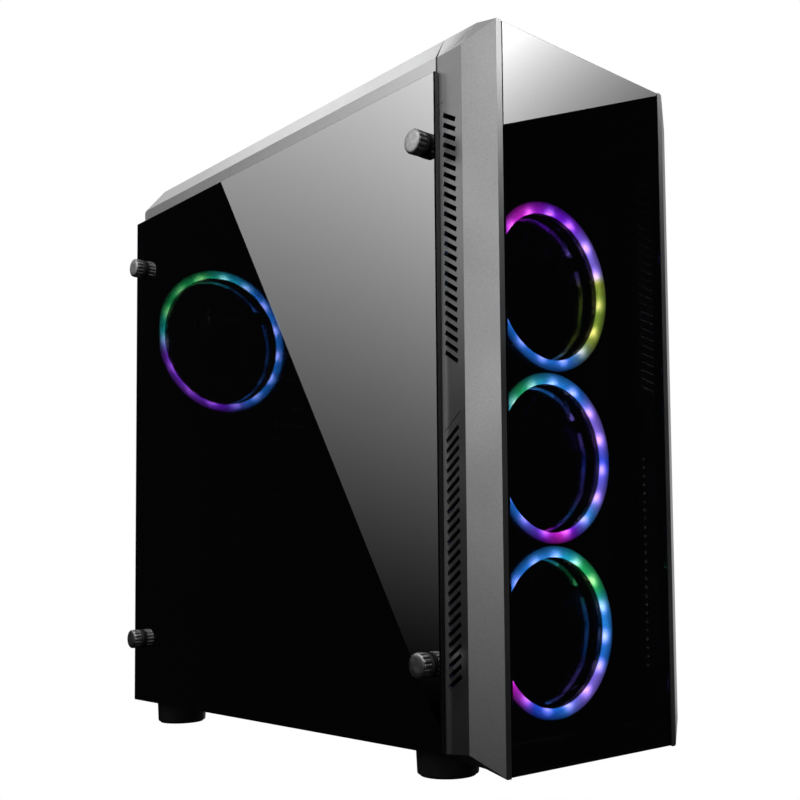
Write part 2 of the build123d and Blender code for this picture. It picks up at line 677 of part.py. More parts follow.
def drive_cage():
    depth = (88, 244)
    base = block((-52, 52), depth, (FLOOR_TOP, FLOOR_TOP + SHEET))
    for side in (-1, 1):
        base += block(sorted((side * 51, side * 52)), depth, (FLOOR_TOP, 66))
    return base


def hard_drive():
    body = block((-50.8, 50.8), (92, 239), (30.0, 52.5))
    lid = block((-47, 47), (95, 225), (52.5, 55.5))
    board = block((-46, 46), (98, 236), (28.4, 30.0))
    screws = [block((x - 1, x + 1), (y - 1, y + 1), (30, 56.1)) for x in (-40, 40) for y in (101, 219)]
    drive = body + lid + board
    for screw in screws:
        drive += screw
    return drive


def motherboard():
    front = BOARD_REAR - BOARD_SIZE[0]
    low = BOARD_TOP - BOARD_SIZE[1]
    holes = [round_hole(y, z, 1.9) for y, z in standoff_points()]
    board = sheet(across(BOARD_FACE), (front, BOARD_REAR), (low, BOARD_TOP), holes, BOARD)
    face = BOARD_FACE
    board += block((face - 4.0, face), (307, 353), (327, 373))
    for index in (0, 2, 5):
        board += block((face - 11, face), (330, 420), (slot_row(index) - 4, slot_row(index) + 4))
    for index in range(4):
        board += block((face - 7, face), (232 + index * 10, 238.5 + index * 10), (278, 411))
    board += block((face - 12, face), (250, 290), (170, 210))
    board += block((face - 16, face), (330, 400), (408, 424))
    board += block((face - 12, face), (212, 224), (330, 384))
    return board


def standoff_points():
    rows = (BOARD_TOP - 4.6, BOARD_TOP - 165, BOARD_TOP - 295)
    columns = (BOARD_REAR - 12, BOARD_REAR - 135, BOARD_REAR - 238)
    return [(y, z) for y in columns for z in rows]


def board_standoffs():
    low = BOARD_FACE + BOARD
    post = disc(2.9, 0, TRAY - low) + disc(1.5, -BOARD - 0.2, 0) + disc(2.8, -BOARD - 2.0, -BOARD)
    return Compound(children=[along_x(post, low, y, z) for y, z in standoff_points()])


def memory_modules():
    pieces = []
    for index in (1, 3):
        y = 232 + index * 10
        pieces.append(block((BOARD_FACE - 38, BOARD_FACE - 7), (y, y + 6.5), (278, 411)))
    return Compound(children=pieces)


COOLER_Y = 330.0
COOLER_Z = 350.0
COOLER_BASE = BOARD_FACE - 4.0
COOLER_FINS = COOLER_BASE - 31.0


def cpu_cooler():
    half = 46.0
    base_y = (COOLER_Y - 30, COOLER_Y + 30)
    sink = block((COOLER_BASE - 6, COOLER_BASE), base_y, (COOLER_Z - 30, COOLER_Z + 30))
    pitch = 2 * half / 18
    for index in range(19):
        z = COOLER_Z - half + index * pitch
        sink += block((COOLER_FINS, COOLER_BASE - 5.0), (COOLER_Y - half, COOLER_Y + half), (z - 0.7, z + 0.7))
    spine_x = (COOLER_BASE - 12, COOLER_BASE - 5)
    return sink + block(spine_x, (COOLER_Y - 18, COOLER_Y + 18), (COOLER_Z - half, COOLER_Z + half))


# ---- feet ----
def feet():
    lift = 1.2
    cone = Pos(0, 0, (FOOT_HEIGHT + lift) / 2) * Cone(FOOT_RADIUS - 0.8, FOOT_RADIUS, FOOT_HEIGHT - lift)
    cone = cone - disc(5, 0, 10)
    return Compound(children=[Pos(x, y, 0) * cone for x in (-FOOT_X, FOOT_X) for y in FOOT_Y])


def foot_pads():
    pad = tube(FOOT_RADIUS - 2.5, 6, 0, 1.2)
    return Compound(children=[Pos(x, y, 0) * pad for x in (-FOOT_X, FOOT_X) for y in FOOT_Y])


# ---- the assembly ----
def place_rear(shape):
    return along_y(shape, REAR_FAN_X, INNER_REAR - FAN_DEPTH, REAR_FAN_Z)


def place_cooler(shape):
    return along_x(shape, COOLER_FINS - FAN_DEPTH, COOLER_Y, COOLER_Z)


nodes = {
    "chassis_floor": chassis_floor(),
    "chassis_roof": chassis_roof(),
    "rear_panel": rear_panel(),
    "chassis_front": chassis_front(),
    "motherboard_tray": motherboard_tray(),
    "side_frame": side_frame(),
    "psu_shroud": psu_shroud(),
    "slot_covers": slot_covers(),
    "slot_cover_screws": slot_cover_screws(),
    "io_shield": io_shield(),
    "right_side_panel": right_side_panel(),
    "right_thumbscrew_upper": right_thumbscrew(RIGHT_SCREWS_Z[0]),
    "right_thumbscrew_lower": right_thumbscrew(RIGHT_SCREWS_Z[1]),
    "side_glass": side_glass(),
    "glass_pads": glass_pads(),
    "glass_standoffs": glass_standoffs(),
    "thumbscrew_washers": thumbscrew_washers(),
    "front_bezel": front_bezel(),
    "front_glass": front_glass(),
    "top_cover": top_cover(),
    "top_filter": top_filter(),
    "power_button": button(POWER_RADIUS, 0),
    "reset_button": button(SMALL_RADIUS, SMALL_BUTTON_X),
    "light_button": button(SMALL_RADIUS, -SMALL_BUTTON_X),
    "front_io_board": front_io_board(),
    "front_io_sockets": front_io_sockets(),
    "fan_screws": fan_screws(),
    "rear_fan_frame": place_rear(fan_frame(BACK_FAN)),
    "rear_light_ring": place_rear(light_ring(BACK_FAN)),
    "rear_fan_rotor": place_rear(fan_rotor(BACK_FAN, 9)),
    "psu_casing": psu_casing(),
    "psu_fan_frame": Pos(0, PSU_FAN_Y, PSU_Z[0] + PSU_WALL) * fan_frame(SUPPLY_FAN),
    "psu_fan_rotor": Pos(0, PSU_FAN_Y, PSU_Z[0] + PSU_WALL) * fan_rotor(SUPPLY_FAN, 7),
    "psu_switch": psu_switch(),
    "psu_inlet": psu_inlet(),
    "psu_filter": psu_filter(),
    "drive_cage": drive_cage(),
    "hard_drive": hard_drive(),
    "motherboard": motherboard(),
    "board_ports": board_ports(),
    "board_standoffs": board_standoffs(),
    "memory_modules": memory_modules(),
    "cpu_cooler": cpu_cooler(),
    "cpu_fan_frame": place_cooler(fan_frame(COOLER_FAN)),
    "cpu_fan_rotor": place_cooler(fan_rotor(COOLER_FAN, 7)),
    "feet": feet(),
    "foot_pads": foot_pads(),
}

for column, y in zip(("front", "rear"), SCREW_COLUMNS):
    for row, z in zip(("top", "bottom"), SCREW_ROWS):
        nodes["thumbscrew_" + column + "_" + row] = glass_thumbscrew(y, z)

for step, name in zip((1, 0, -1), ("top", "middle", "bottom")):
    height = FAN_MIDDLE + step * FAN_PITCH
    nodes["front_fan_frame_" + name] = along_y(fan_frame(CASE_FAN), 0, FAN_FACE, height)
    nodes["front_light_ring_" + name] = along_y(light_ring(CASE_FAN), 0, FAN_FACE, height)
    nodes["front_fan_rotor_" + name] = along_y(fan_rotor(CASE_FAN, 9), 0, FAN_FACE, height)

os.makedirs("parts", exist_ok=True)
for name, shape in nodes.items():
    export_step(PLACE * shape, "parts/" + name + ".step")
print(len(nodes), "sub-parts")
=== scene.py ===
"""A glass-sided desktop computer tower: its looks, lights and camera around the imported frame."""
import json
import math

import bmesh
import bpy
from mathutils import Matrix, Vector


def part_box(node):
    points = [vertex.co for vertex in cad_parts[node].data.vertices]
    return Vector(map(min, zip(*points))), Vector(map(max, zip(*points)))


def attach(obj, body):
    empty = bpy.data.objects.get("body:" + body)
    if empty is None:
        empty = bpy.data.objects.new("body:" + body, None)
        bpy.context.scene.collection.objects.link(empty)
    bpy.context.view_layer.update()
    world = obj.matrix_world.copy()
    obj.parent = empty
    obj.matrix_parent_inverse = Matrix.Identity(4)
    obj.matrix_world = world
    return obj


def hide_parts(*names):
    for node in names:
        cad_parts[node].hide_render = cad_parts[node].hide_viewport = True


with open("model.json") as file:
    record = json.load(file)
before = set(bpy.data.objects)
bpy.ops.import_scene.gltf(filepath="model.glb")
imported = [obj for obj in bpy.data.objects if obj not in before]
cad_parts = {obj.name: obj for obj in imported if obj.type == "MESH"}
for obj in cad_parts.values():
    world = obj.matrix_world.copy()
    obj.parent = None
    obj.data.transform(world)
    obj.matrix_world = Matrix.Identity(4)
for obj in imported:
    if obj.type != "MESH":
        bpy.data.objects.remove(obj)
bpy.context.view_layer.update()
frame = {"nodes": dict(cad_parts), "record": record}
bodies = frame["record"]["behaviour"]["bodies"]

# Case coordinates in millimetres: X from the middle plane (glass side is -X),
# Y back from the outer face of the front glass, Z up from the floor.
MM = 0.001
glass_low, glass_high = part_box("front_glass")
MIDDLE_X = (glass_low.x + glass_high.x) / 2
FRONT_Y = glass_low.y


def at(x, y, z):
    """A point in case millimetres, as a place in the scene in metres."""
    return Vector((MIDDLE_X + x * MM, FRONT_Y + y * MM, z * MM))


def case_box(node):
    """A CAD node's lowest and highest corner, in case millimetres."""
    low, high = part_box(node)
    origin = at(0, 0, 0)
    return (low - origin) / MM, (high - origin) / MM


def body_of(node):
    return next(body for body, members in bodies.items() if node in members)


# ------------------------------------------------------------------ materials
class Paint:
    """A Principled material with short calls for the nodes that this scene uses."""

    def __init__(self, name, colour, metallic=0.0, roughness=0.5, **sockets):
        self.material = bpy.data.materials.new(name)
        self.material.use_nodes = True
        self.tree = self.material.node_tree
        self.shader = self.tree.nodes["Principled BSDF"]
        self.set("Base Color", (*colour, 1.0))
        self.set("Metallic", metallic)
        self.set("Roughness", roughness)
        for socket, value in sockets.items():
            self.set(socket.replace("_", " ").title().replace("Ior", "IOR"), value)
        self.place = self.node("ShaderNodeTexCoord").outputs["Object"]

    def set(self, socket, value):
        self.shader.inputs[socket].default_value = value

    def node(self, kind, **settings):
        made = self.tree.nodes.new(kind)
        for key, value in settings.items():
            setattr(made, key, value)
        return made

    def link(self, start, end):
        self.tree.links.new(start, end)

    def math(self, operation, first, second=None):
        made = self.node("ShaderNodeMath", operation=operation)
        for index, value in enumerate((first, second)):
            if value is None:
                continue
            if isinstance(value, (int, float)):
                made.inputs[index].default_value = value
            else:
                self.link(value, made.inputs[index])
        return made.outputs[0]

    def noise(self, size_mm, detail=3.0, stretch=(1, 1, 1)):
        mapping = self.node("ShaderNodeMapping")
        mapping.inputs["Scale"].default_value = stretch
        self.link(self.place, mapping.inputs["Vector"])
        made = self.node("ShaderNodeTexNoise")
        made.inputs["Scale"].default_value = 1.0 / (size_mm * MM)
        made.inputs["Detail"].default_value = detail
        self.link(mapping.outputs[0], made.inputs["Vector"])
        return made.outputs["Fac"]

    def ramp(self, value, stops, mode="LINEAR"):
        made = self.node("ShaderNodeValToRGB")
        made.color_ramp.interpolation = mode
        elements = made.color_ramp.elements
        while len(elements) < len(stops):
            elements.new(0.5)
        for element, (position, colour) in zip(elements, stops):
            element.position = position
            element.color = (*colour, 1.0)
        self.link(value, made.inputs["Fac"])
        return made.outputs["Color"]

    def tone(self, value, low, high):
        """The base colour runs between two colours as value does."""
        self.link(self.ramp(value, ((0.3, low), (0.7, high))), self.shader.inputs["Base Color"])
        return self

    def rough(self, value, low, high):
        made = self.node("ShaderNodeMapRange")
        made.inputs["From Min"].default_value = 0.3
        made.inputs["From Max"].default_value = 0.7
        made.inputs["To Min"].default_value = low
        made.inputs["To Max"].default_value = high
        self.link(value, made.inputs["Value"])
        self.link(made.outputs["Result"], self.shader.inputs["Roughness"])
        return self

    def bump(self, value, depth_mm, strength=1.0):
        made = self.node("ShaderNodeBump")
        made.inputs["Distance"].default_value = depth_mm * MM
        made.inputs["Strength"].default_value = strength
        self.link(value, made.inputs["Height"])
        self.link(made.outputs["Normal"], self.shader.inputs["Normal"])
        return self


def silver_paint():
    """Dark silver metallic paint over moulded plastic, with the fine grain of its flake."""
    paint = Paint("silver_paint", (0.33, 0.33, 0.34), 0.95, 0.3)
    flake = paint.noise(0.55, 2.0)
    paint.tone(flake, (0.30, 0.30, 0.305), (0.40, 0.40, 0.405))
    paint.rough(paint.noise(60, 2.0), 0.27, 0.33)
    return paint.bump(flake, 0.03, 0.3).material


def black_steel():
    paint = Paint("black_steel", (0.012, 0.012, 0.013), 0.0, 0.45)
    paint.rough(paint.noise(45, 3.0), 0.38, 0.52)
    return paint.bump(paint.noise(0.9, 2.0), 0.04, 0.4).material


def black_plastic():
    paint = Paint("black_plastic", (0.012, 0.012, 0.013), 0.0, 0.5)
    paint.rough(paint.noise(25, 3.0), 0.42, 0.58)
    return paint.bump(paint.noise(0.6, 2.0), 0.03, 0.5).material


def gloss_black():
    paint = Paint("gloss_black", (0.008, 0.008, 0.009), 0.0, 0.16, coat_weight=0.4, coat_roughness=0.08)
    paint.rough(paint.noise(18, 2.0), 0.12, 0.22)
    return paint.bump(paint.noise(6, 2.0), 0.01, 0.3).material


def rubber():
    paint = Paint("rubber", (0.013, 0.013, 0.013), 0.0, 0.72)
    paint.rough(paint.noise(9, 3.0), 0.65, 0.82)
    return paint.bump(paint.noise(0.7, 3.0), 0.06, 0.6).material


def smoked_glass(name, tint, reflect):
    """Dark tempered glass: a tinted body under a reflective face."""
    paint = Paint(name, tint, 0.0, 0.0, transmission_weight=1.0, ior=1.5, coat_weight=1.0)
    paint.set("Coat IOR", reflect)
    paint.set("Coat Roughness", 0.004)
    wipe = paint.noise(70, 4.0, (1.0, 0.35, 1.6))
    paint.rough(wipe, 0.0, 0.012)
    return paint.material


def turned_steel():
    """Dark nickel screw heads: fine turning marks and worn flutes."""
    paint = Paint("turned_steel", (0.30, 0.30, 0.305), 1.0, 0.38)
    paint.tone(paint.noise(2.5, 3.0), (0.25, 0.25, 0.255), (0.35, 0.35, 0.355))
    paint.rough(paint.noise(3.5, 3.0), 0.30, 0.44)
    return paint.bump(paint.noise(0.5, 2.0, (4.0, 0.6, 0.6)), 0.03, 0.5).material


def screw_black():
    paint = Paint("screw_black", (0.035, 0.035, 0.037), 0.9, 0.4)
    paint.rough(paint.noise(3, 3.0), 0.3, 0.5)
    return paint.bump(paint.noise(0.5, 2.0), 0.02, 0.5).material


def zinc():
    paint = Paint("zinc", (0.55, 0.55, 0.56), 1.0, 0.34)
    paint.tone(paint.noise(8, 4.0), (0.45, 0.45, 0.47), (0.62, 0.62, 0.63))
    paint.rough(paint.noise(12, 4.0), 0.26, 0.44)
    return paint.bump(paint.noise(0.8, 2.0, (1, 6, 1)), 0.01, 0.5).material


def brass():
    paint = Paint("brass_thread", (0.60, 0.45, 0.20), 1.0, 0.3)
    paint.rough(paint.noise(2, 3.0), 0.22, 0.4)
    return paint.bump(paint.noise(0.5, 2.0, (6, 1, 1)), 0.02, 0.5).material


def smoky_plastic():
    """Fan blades: dark see-through plastic, so light behind them shows faintly."""
    paint = Paint("smoky_plastic", (0.30, 0.30, 0.34), 0.0, 0.1, transmission_weight=1.0, ior=1.12)
    paint.rough(paint.noise(20, 2.0), 0.05, 0.14)
    return paint.material


def cast_aluminium():
    paint = Paint("cast_aluminium", (0.42, 0.43, 0.44), 1.0, 0.42)
    paint.tone(paint.noise(5, 4.0), (0.36, 0.37, 0.38), (0.48, 0.49, 0.50))
    paint.rough(paint.noise(7, 3.0), 0.34, 0.5)
    return paint.bump(paint.noise(0.9, 3.0), 0.05, 0.4).material


def circuit_board():
    """Black solder mask with the faint relief of its tracks."""
    paint = Paint("circuit_board", (0.012, 0.014, 0.014), 0.0, 0.4, coat_weight=0.3, coat_roughness=0.2)
    brick = paint.node("ShaderNodeTexBrick")
    brick.inputs["Scale"].default_value = 60.0
    brick.inputs["Mortar Size"].default_value = 0.02
    paint.link(paint.place, brick.inputs["Vector"])
    paint.tone(paint.noise(4, 3.0), (0.010, 0.012, 0.012), (0.02, 0.023, 0.022))
    return paint.bump(brick.outputs["Fac"], 0.05, 0.5).material


def nylon_mesh():
    paint = Paint("nylon_mesh", (0.02, 0.02, 0.02), 0.0, 0.55)
    paint.rough(paint.noise(3, 3.0), 0.45, 0.65)
    return paint.bump(paint.noise(0.4, 2.0), 0.03, 0.5).material


# Hues round each ring, clockwise from the top as seen from in front: (turn from 0 to 1, colour).
BLUE = (0.02, 0.10, 1.0)
SKY = (0.03, 0.35, 1.0)
TEAL = (0.01, 0.55, 0.65)
GREEN = (0.02, 0.55, 0.16)
OLIVE = (0.36, 0.46, 0.06)
LAVENDER = (0.30, 0.20, 1.0)
PURPLE = (0.32, 0.05, 0.95)
MAGENTA = (0.85, 0.02, 0.85)
VIOLET = (0.20, 0.01, 0.80)
AZURE = (0.02, 0.22, 0.92)
MOSS = (0.22, 0.38, 0.04)
DUSK = (0.12, 0.30, 0.45)
RING_HUES = {
    "front_light_ring_top": (
        (0.0, VIOLET), (0.08, VIOLET), (0.13, LAVENDER), (0.19, LAVENDER), (0.215, OLIVE), (0.28, MOSS),
        (0.36, OLIVE), (0.41, DUSK), (0.45, AZURE), (0.66, AZURE), (0.80, PURPLE), (0.90, MAGENTA),
        (1.0, VIOLET),
    ),
    "front_light_ring_middle": (
        (0.0, SKY), (0.09, AZURE), (0.14, LAVENDER), (0.20, LAVENDER), (0.25, BLUE), (0.33, LAVENDER),
        (0.38, SKY), (0.44, VIOLET), (0.49, MAGENTA), (0.54, VIOLET), (0.62, AZURE), (0.78, AZURE),
        (0.90, GREEN), (1.0, SKY),
    ),
    "front_light_ring_bottom": (
        (0.0, SKY), (0.05, TEAL), (0.09, GREEN), (0.16, GREEN), (0.21, SKY), (0.31, AZURE),
        (0.36, LAVENDER), (0.42, LAVENDER), (0.48, AZURE), (0.57, BLUE), (0.64, MAGENTA), (0.71, PURPLE),
        (0.84, AZURE), (1.0, SKY),
    ),
    "rear_light_ring": (
        (0.0, TEAL), (0.10, AZURE), (0.42, AZURE), (0.50, VIOLET), (0.57, PURPLE), (0.70, PURPLE),
        (0.75, TEAL), (0.80, GREEN), (0.95, GREEN), (1.0, TEAL),
    ),
}
LAMPS_IN_RING = 15
LAMP_WARMTH = (0.30, 0.13, 0.10)       # added to the hue at each lamp


def ring_light(name, centre, hues, power, inner_mm, outer_mm):
    """A frosted diffuser lit from its inner edge: hues run round it, with a brighter patch at each lamp."""
    paint = Paint("lit_" + name, (0.6, 0.62, 0.68), 0.0, 0.35)
    split = paint.node("ShaderNodeSeparateXYZ")
    paint.link(paint.place, split.inputs[0])
    across = paint.math("SUBTRACT", split.outputs["X"], centre.x)
    upward = paint.math("SUBTRACT", split.outputs["Z"], centre.z)
    turn = paint.math("DIVIDE", paint.math("ARCTAN2", across, upward), 2 * math.pi)
    turn = paint.math("FRACT", paint.math("ADD", turn, 1.0))
    colour = paint.ramp(turn, hues)
    wave = paint.math("COSINE", paint.math("MULTIPLY", turn, 2 * math.pi * LAMPS_IN_RING))
    spot = paint.math("POWER", paint.math("MULTIPLY", paint.math("ADD", wave, 1.0), 0.5), 2.2)
    across_squared = paint.math("MULTIPLY", across, across)
    upward_squared = paint.math("MULTIPLY", upward, upward)
    radius = paint.math("SQRT", paint.math("ADD", across_squared, upward_squared))
    reach = paint.math("SUBTRACT", radius, inner_mm * MM)
    edge = paint.math("SUBTRACT", 1.0, paint.math("DIVIDE", reach, (outer_mm - inner_mm) * MM))
    edge = paint.math("MAXIMUM", edge, 0.0)
    band = paint.math("ADD", 0.06, paint.math("MULTIPLY", paint.math("POWER", edge, 1.1), 0.50))
    patch = paint.math("MULTIPLY", paint.math("POWER", edge, 1.8), spot)
    cloud = paint.math("ADD", 0.75, paint.math("MULTIPLY", paint.noise(9, 2.0), 0.5))
    glow = paint.math("MULTIPLY", paint.math("ADD", band, paint.math("MULTIPLY", patch, 1.1)), cloud)
    heat = paint.node("ShaderNodeVectorMath", operation="SCALE")
    heat.inputs[0].default_value = LAMP_WARMTH
    paint.link(patch, heat.inputs["Scale"])
    warmed = paint.node("ShaderNodeVectorMath", operation="ADD")
    paint.link(colour, warmed.inputs[0])
    paint.link(heat.outputs[0], warmed.inputs[1])
    paint.link(warmed.outputs[0], paint.shader.inputs["Emission Color"])
    paint.link(paint.math("MULTIPLY", glow, power), paint.shader.inputs["Emission Strength"])
    return paint.bump(paint.noise(2.0, 2.0), 0.05, 0.3).material


SILVER = silver_paint()
STEEL = black_steel()
PLASTIC = black_plastic()
GLOSS = gloss_black()
RUBBER = rubber()
SIDE_GLASS = smoked_glass("side_smoked_glass", (0.035, 0.038, 0.038), 2.6)
FRONT_GLASS = smoked_glass("front_smoked_glass", (0.13, 0.13, 0.135), 2.2)
TURNED = turned_steel()
SCREW = screw_black()
ZINC = zinc()
BRASS = brass()
CAST = cast_aluminium()
CIRCUIT = circuit_board()
MESH = nylon_mesh()
SMOKY = smoky_plastic()


# ------------------------------------------------------------------ mesh tools
def dress(piece, material):
    piece.data.materials.clear()
    piece.data.materials.append(material)
    return piece


def sharpen(mesh, degrees):
    """Smooth shading with the edges steeper than an angle kept sharp."""
    mesh.polygons.foreach_set("use_smooth", [True] * len(mesh.polygons))
    mesh.set_sharp_from_angle(angle=math.radians(degrees))


def add_piece(name, mesh, material, body, *stands_for, degrees=35):
    piece = bpy.data.objects.new(name, mesh)
    bpy.context.scene.collection.objects.link(piece)
    dress(piece, material)
    sharpen(mesh, degrees)
    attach(piece, body)
    if stands_for:
        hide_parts(*stands_for)
    return piece


def evaluated(piece):
    """The piece's mesh with its modifiers applied."""
    graph = bpy.context.evaluated_depsgraph_get()
    mesh = bpy.data.meshes.new_from_object(piece.evaluated_get(graph))
    piece.modifiers.clear()
    piece.data = mesh
    return mesh


def refined(node, material, width_mm=0.4, segments=2, degrees=30):
    """A copy of a CAD node's shape with welded faces and softly rounded edges, standing for it."""
    mesh = frame["nodes"][node].data.copy()
    work = bmesh.new()
    work.from_mesh(mesh)
    bmesh.ops.remove_doubles(work, verts=work.verts, dist=2e-6)
    bmesh.ops.dissolve_limit(work, angle_limit=math.radians(0.4), verts=work.verts, edges=work.edges)
    work.to_mesh(mesh)
    work.free()
    if mesh.attributes.get("custom_normal"):
        mesh.attributes.remove(mesh.attributes["custom_normal"])
    piece = bpy.data.objects.new(node + "_shell", mesh)
    bpy.context.scene.collection.objects.link(piece)
    bevel = piece.modifiers.new("soft_edges", "BEVEL")
    bevel.width = width_mm * MM
    bevel.segments = segments
    bevel.limit_method = "ANGLE"
    bevel.angle_limit = math.radians(degrees)
    bevel.use_clamp_overlap = True
    sharpen(mesh, 180)
    level = piece.modifiers.new("level_faces", "WEIGHTED_NORMAL")
    level.weight = 100
    mesh = evaluated(piece)
    dress(piece, material)
    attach(piece, body_of(node))
    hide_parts(node)
    return piece


def turned(profile, segments=96):
    """A closed solid of revolution about Z: profile is a closed loop of (radius, height) in mm."""
    work = bmesh.new()
    rings = []
    for index in range(segments):
        angle = 2 * math.pi * index / segments
        spot = (math.cos(angle), math.sin(angle))
        rings.append([work.verts.new((r * spot[0], r * spot[1], z)) for r, z in profile])
    for index in range(segments):
        here, there = rings[index], rings[(index + 1) % segments]
        for low in range(len(profile)):
            high = (low + 1) % len(profile)
            work.faces.new((here[low], there[low], there[high], here[high]))
    bmesh.ops.remove_doubles(work, verts=work.verts, dist=1e-4)
    bmesh.ops.recalc_face_normals(work, faces=work.faces)
    return work


def rounded_profile(inner, outer, low, high, radius, steps=4):
    """A rectangle in (radius, height) with rounded corners."""
    points = []
    centres = (
        (outer - radius, low + radius, -90), (outer - radius, high - radius, 0),
        (inner + radius, high - radius, 90), (inner + radius, low + radius, 180),
    )
    for centre_r, centre_z, start in centres:
        for step in range(steps + 1):
            angle = math.radians(start + 90 * step / steps)
            points.append((centre_r + radius * math.cos(angle), centre_z + radius * math.sin(angle)))
    return points


def finish_mesh(name, work, matrix):
    mesh = bpy.data.meshes.new(name)
    work.to_mesh(mesh)
    work.free()
    mesh.transform(matrix)
    return mesh


def facing(point, direction):
    """Places a part built about Z in mm with its origin at a case point and Z along a direction."""
    turn = Vector((0, 0, 1)).rotation_difference(Vector(direction)).to_matrix().to_4x4()
    return Matrix.Translation(at(*point)) @ turn @ Matrix.Scale(MM, 4)


def join_into(target, work, offset=None):
    """Adds one bmesh to another, moved by a matrix if one is given."""
    if offset is not None:
        bmesh.ops.transform(work, matrix=offset, verts=work.verts)
    spare = bpy.data.meshes.new("spare")
    work.to_mesh(spare)
    work.free()
    target.from_mesh(spare)
    bpy.data.meshes.remove(spare)


# ------------------------------------------------------------------ fans
BACKWARD = (0, 1, 0)
UPWARD = (0, 0, 1)
OUTWARD = (-1, 0, 0)
CASE_FAN = {"duct": 51.5, "ring": 59.3, "tip": 48.0, "blades": 9}
BACK_FAN = {"duct": 60.0, "ring": 67.2, "tip": 56.5, "blades": 9}
SUPPLY_FAN = {"duct": 57.0, "ring": None, "tip": 53.5, "blades": 7}
COOLER_FAN = {"duct": 43.5, "ring": None, "tip": 40.0, "blades": 7}
HUB = 20.0
ARC_START = -32.0                    # degrees: where the first dim arc's gap lies
ARC_GAP = 12.0


def rotor_mesh(fan):
    """A hub with a recessed cap and swept, twisted blades, about Z, intake side at low Z."""
    work = turned([
        (0.0, 3.4), (13.0, 3.4), (13.6, 2.9), (14.4, 2.4), (18.2, 2.4), (19.4, 2.9), (20.0, 4.2),
        (20.0, 18.2), (17.8, 18.2), (17.8, 5.2), (0.0, 5.2),
    ], 72)
    shaft = turned([(0.0, 4.8), (1.5, 4.8), (1.5, 21.4), (0.0, 21.4)], 16)
    join_into(work, shaft)
    spans, chords = 9, 8
    tip = fan["tip"]
    pitch = 2 * math.pi / fan["blades"]
    for blade in range(fan["blades"]):
        sheets = []
        for side in (-1, 1):
            grid = []
            for i in range(spans + 1):
                reach = i / spans
                radius = HUB - 0.6 + (tip - HUB + 0.6) * reach
                sweep = 0.34 * reach * reach
                width = pitch * (0.80 + 0.06 * reach) * (1 if fan["blades"] > 7 else 0.86)
                row = []
                for j in range(chords + 1):
                    run = j / chords - 0.5
                    angle = blade * pitch + sweep + width * run
                    camber = 1.3 * (1 - 4 * run * run)
                    thick = 0.75 * (1 - (2 * run) ** 4) * (1 - 0.35 * reach) + 0.12
                    height = 10.6 + run * (13.5 - 3.5 * reach) - camber + side * thick
                    row.append(work.verts.new((radius * math.cos(angle), radius * math.sin(angle), height)))
                grid.append(row)
            sheets.append(grid)
        for grid in sheets:
            for i in range(spans):
                for j in range(chords):
                    work.faces.new((grid[i][j], grid[i + 1][j], grid[i + 1][j + 1], grid[i][j + 1]))
        under, over = sheets
        rim = [(i, 0) for i in range(spans)] + [(spans, j) for j in range(chords)]
        rim += [(i, chords) for i in range(spans, 0, -1)] + [(0, j) for j in range(chords, 0, -1)]
        for here, there in zip(rim, rim[1:] + rim[:1]):
            (i, j), (k, m) = here, there
            work.faces.new((under[i][j], under[k][m], over[k][m], over[i][j]))
    bmesh.ops.recalc_face_normals(work, faces=work.faces)
    return work


def add_rotor(node, fan, point, direction, material=SMOKY):
    mesh = finish_mesh(node + "_blades", rotor_mesh(fan), facing(point, direction))
    return add_piece(node + "_blades", mesh, material, body_of(node), node)


def hide_light(piece):
    """The piece glows but lights nothing round it, so the inside of the case stays black."""
    piece.visible_diffuse = False
    piece.visible_glossy = False


def add_ring(node, fan, point, power):
    """The lit ring on the intake face, and thinner lit arcs at the back of the duct."""
    duct, outer = fan["duct"], fan["ring"]
    work = turned(rounded_profile(duct + 0.1, outer - 0.05, 0.0, 3.9, 1.3), 160)
    matrix = facing(point, BACKWARD)
    material = ring_light(node, at(*point), RING_HUES[node], power, duct, outer)
    mesh = finish_mesh(node + "_glow", work, matrix)
    hide_light(add_piece(node + "_glow", mesh, material, body_of(node), node))
    arcs = arc_segments(duct - 1.5, duct - 0.2, 16.2, 18.8)
    dim = ring_light(node + "_back", at(*point), RING_HUES[node], power * 0.6, duct - 8, duct + 2)
    mesh = finish_mesh(node + "_back_arcs", arcs, matrix)
    hide_light(add_piece(node + "_back_arcs", mesh, dim, body_of(node)))


def arc_segments(inner, outer, low, high, count=3, pieces=40):
    """Closed curved bars round the duct with gaps between them."""
    work = bmesh.new()
    for index in range(count):
        start = math.radians(360 / count * index + ARC_GAP / 2 + ARC_START)
        end = math.radians(360 / count * (index + 1) - ARC_GAP / 2 + ARC_START)
        rows = []
        for step in range(pieces + 1):
            angle = start + (end - start) * step / pieces
            spot = (math.cos(angle), math.sin(angle))
            corners = ((inner, low), (outer, low), (outer, high), (inner, high))
            rows.append([work.verts.new((r * spot[0], r * spot[1], z)) for r, z in corners])
        for here, there in zip(rows, rows[1:]):
            for low_index in range(4):
                high_index = (low_index + 1) % 4
                work.faces.new((here[low_index], there[low_index], there[high_index], here[high_index]))
        work.faces.new(rows[0])
        work.faces.new(rows[-1])
    bmesh.ops.recalc_face_normals(work, faces=work.faces)
    return work


FAN_FACE = case_box("front_fan_frame_middle")[0].y
GLOW = 13.0
REAR_GLOW = 30.0


def fan_middle(node):
    low, high = case_box(node)
    return (low + high) / 2


for level in ("top", "middle", "bottom"):
    centre = fan_middle("front_fan_frame_" + level)
    point = (centre.x, FAN_FACE, centre.z)
    refined("front_fan_frame_" + level, PLASTIC, 0.5)
    add_ring("front_light_ring_" + level, CASE_FAN, point, GLOW)
    add_rotor("front_fan_rotor_" + level, CASE_FAN, point, BACKWARD)

